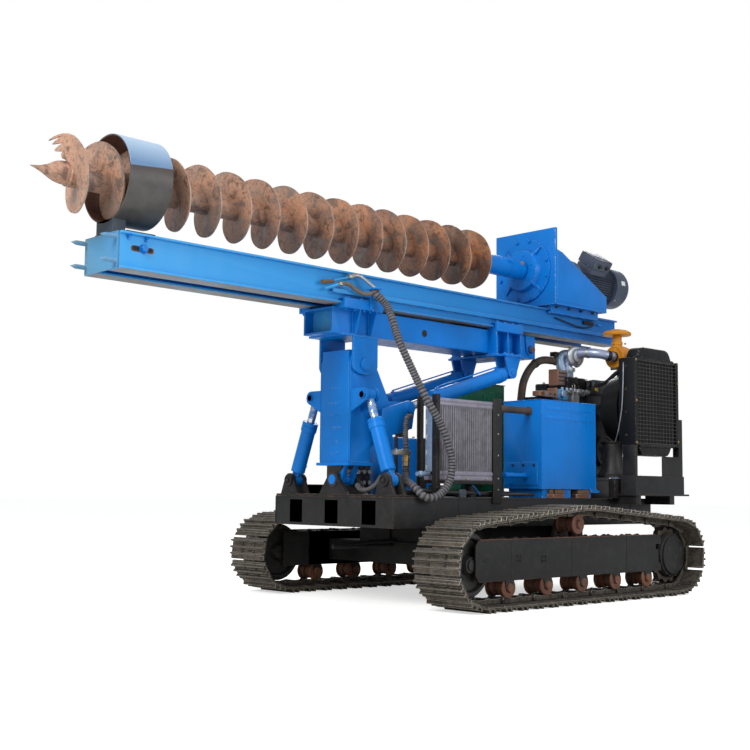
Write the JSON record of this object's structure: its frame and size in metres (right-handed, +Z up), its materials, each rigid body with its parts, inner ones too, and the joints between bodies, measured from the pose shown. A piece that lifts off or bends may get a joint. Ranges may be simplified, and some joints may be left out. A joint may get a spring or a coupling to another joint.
{
  "type": "crawler auger piling rig",
  "caption": "Tracked auger piling rig: tilting post, luffing and sliding mast, rotary head on the mast driving a long flight auger, open power pack behind.",
  "frame": {"origin": "on the floor, at the middle of the rig's overall length and width", "axes": "+X forwards, towards the auger's tip; +Y to the rig's left; +Z up"},
  "size_m": [5.02, 2.05, 2.567],
  "materials": {
    "blue_paint": "gloss enamel over welded steel, scuffed",
    "black_paint": "satin black paint with dust",
    "track_steel": "muddy cast steel with rust",
    "rusty_steel": "bare rusted steel",
    "chrome_rod": "polished rod",
    "bare_aluminium": "dull aluminium",
    "green_paint": "gloss green enamel",
    "orange_paint": "ochre orange enamel",
    "hose_rubber": "spiral wrapped hose"
  },
  "bodies": {
    "chassis": {"track_left": "track_steel", "track_right": "track_steel", "track_frame_left": "black_paint", "track_frame_right": "black_paint", "idler_left": "track_steel", "idler_right": "track_steel", "sprocket_left": "track_steel", "sprocket_right": "track_steel", "platform": "black_paint", "undercarriage": "black_paint", "deck_lugs": "black_paint", "deck_bar": "rusty_steel", "oil_cooler": "bare_aluminium", "cooler_frame": "black_paint", "hydraulic_tank": "blue_paint", "return_pipe": "rusty_steel", "engine": "black_paint", "exhaust_pipe": "rusty_steel", "turbocharger": "bare_aluminium", "intake_duct": "bare_aluminium", "air_cleaner": "orange_paint", "radiator": "black_paint", "rear_support": "black_paint", "radiator_post": "black_paint", "control_cabinet": "green_paint", "fuel_tank": "blue_paint", "control_valves": "black_paint"},
    "post": {"post": "blue_paint", "hose_coupling": "bare_aluminium", "hydraulic_hose": "hose_rubber"},
    "carrier": {"carrier_beam": "blue_paint", "rear_bracket": "blue_paint", "hose_bracket": "blue_paint"},
    "mast": {"mast_beam": "blue_paint", "mast_foot": "blue_paint", "guide_ring": "black_paint", "ring_stand": "black_paint"},
    "head": {"head_carriage": "blue_paint", "reducer": "green_paint", "drive_motor": "black_paint", "output_housing": "blue_paint"},
    "auger": {"drive_shaft": "blue_paint", "auger": "rusty_steel"},
    "tilt_barrel_left": {"tilt_barrel_left": "blue_paint"},
    "tilt_rod_left": {"tilt_rod_left": "chrome_rod"},
    "tilt_barrel_right": {"tilt_barrel_right": "blue_paint"},
    "tilt_rod_right": {"tilt_rod_right": "chrome_rod"},
    "luff_barrels": {"luff_barrel_left": "blue_paint", "luff_barrel_right": "blue_paint"},
    "luff_rods": {"luff_rod_left": "chrome_rod", "luff_rod_right": "chrome_rod"}
  },
  "joints": [
    {"name": "post_tilt", "type": "hinge", "parent": "chassis", "child": "post", "pos_m": [0.354, 0, 0.743], "axis": [1, 0, 0], "range_deg": [-5, 5]},
    {"name": "mast_luff", "type": "hinge", "parent": "post", "child": "carrier", "pos_m": [0.334, 0, 1.442], "axis": [0, 1, 0], "range_deg": [0, 90], "deforming": ["hydraulic_hose"]},
    {"name": "mast_slide", "type": "slide", "parent": "carrier", "child": "mast", "axis": [-1, 0, 0], "range_m": [0, 1.2]},
    {"name": "head_feed", "type": "slide", "parent": "mast", "child": "head", "axis": [1, 0, 0], "range_m": [0, 3]},
    {"name": "auger_spin", "type": "hinge", "parent": "head", "child": "auger", "pos_m": [-1.326, 0, 2.28], "axis": [1, 0, 0], "continuous": true},
    {"name": "tilt_barrel_left_swing", "type": "hinge", "parent": "chassis", "child": "tilt_barrel_left", "pos_m": [0.379, 0.434, 0.738], "axis": [1, 0, 0], "range_deg": [-4.5, 4.5]},
    {"name": "tilt_rod_left_slide", "type": "slide", "parent": "tilt_barrel_left", "child": "tilt_rod_left", "axis": [0, -0.3575, 0.9339], "range_m": [-0.04, 0.04]},
    {"name": "tilt_barrel_right_swing", "type": "hinge", "parent": "chassis", "child": "tilt_barrel_right", "pos_m": [0.379, -0.434, 0.738], "axis": [1, 0, 0], "range_deg": [-4.5, 4.5]},
    {"name": "tilt_rod_right_slide", "type": "slide", "parent": "tilt_barrel_right", "child": "tilt_rod_right", "axis": [0, 0.3575, 0.9339], "range_m": [-0.04, 0.04]},
    {"name": "luff_barrels_swing", "type": "hinge", "parent": "carrier", "child": "luff_barrels", "pos_m": [-0.96, 0, 1.488], "axis": [0, 1, 0], "range_deg": [-6, 6]},
    {"name": "luff_rods_slide", "type": "slide", "parent": "luff_barrels", "child": "luff_rods", "axis": [0.9584, 0, -0.2856], "range_m": [-0.005, 0.56]}
  ],
  "couplings": [
    {"joint": "tilt_barrel_left_swing", "follows": "post_tilt", "ratio": 0.70944},
    {"joint": "tilt_rod_left_slide", "follows": "post_tilt", "m_per_rad": 0.40333},
    {"joint": "tilt_barrel_right_swing", "follows": "post_tilt", "ratio": 0.70944},
    {"joint": "tilt_rod_right_slide", "follows": "post_tilt", "m_per_rad": -0.40333},
    {"joint": "luff_barrels_swing", "follows": "mast_luff", "ratio": -0.042364},
    {"joint": "luff_rods_slide", "follows": "mast_luff", "m_per_rad": 0.34962}
  ]
}
